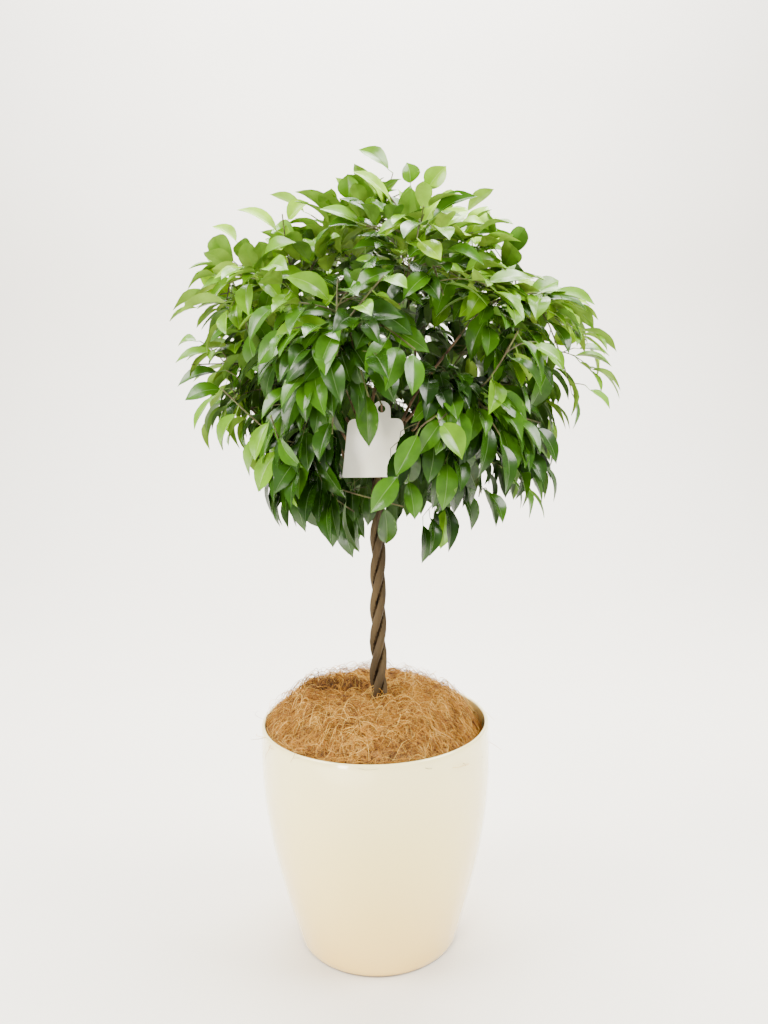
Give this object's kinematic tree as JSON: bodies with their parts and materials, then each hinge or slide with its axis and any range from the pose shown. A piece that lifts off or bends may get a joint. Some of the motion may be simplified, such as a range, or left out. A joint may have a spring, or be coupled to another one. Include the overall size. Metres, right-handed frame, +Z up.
{
  "type": "standard lollipop topiary in a pot",
  "caption": "Potted weeping fig grown as a lollipop standard: twisted clear trunk, round open crown of drooping leaves, tapered glossy pot topped with coconut fibre, blank card.",
  "frame": {"origin": "centre of the pot's flat underside", "axes": "+Z up along the trunk, -Y towards the front, where the card hangs, and +X to the right seen from the front"},
  "size_m": [0.538, 0.5178, 1.0132],
  "materials": {
    "pot_glaze": "gloss",
    "potting_soil": "matt",
    "coconut_fibre": "matt",
    "bark": "matt",
    "leaf": "satin",
    "card": "satin"
  },
  "bodies": {
    "root": {"pot": "pot_glaze", "root_ball": "potting_soil", "coconut_fibre": "coconut_fibre", "stem_1": "bark", "stem_2": "bark", "stem_3": "bark", "bough_01": "bark", "bough_02": "bark", "bough_03": "bark", "bough_04": "bark", "bough_05": "bark", "bough_06": "bark", "bough_07": "bark", "bough_08": "bark", "bough_09": "bark", "bough_10": "bark", "bough_11": "bark", "bough_12": "bark", "spur": "bark", "foliage_01": "leaf", "foliage_02": "leaf", "foliage_03": "leaf", "foliage_04": "leaf", "foliage_05": "leaf", "foliage_06": "leaf", "foliage_07": "leaf", "foliage_08": "leaf", "foliage_09": "leaf", "foliage_10": "leaf", "foliage_11": "leaf", "foliage_12": "leaf", "card": "card"}
  },
  "joints": []
}
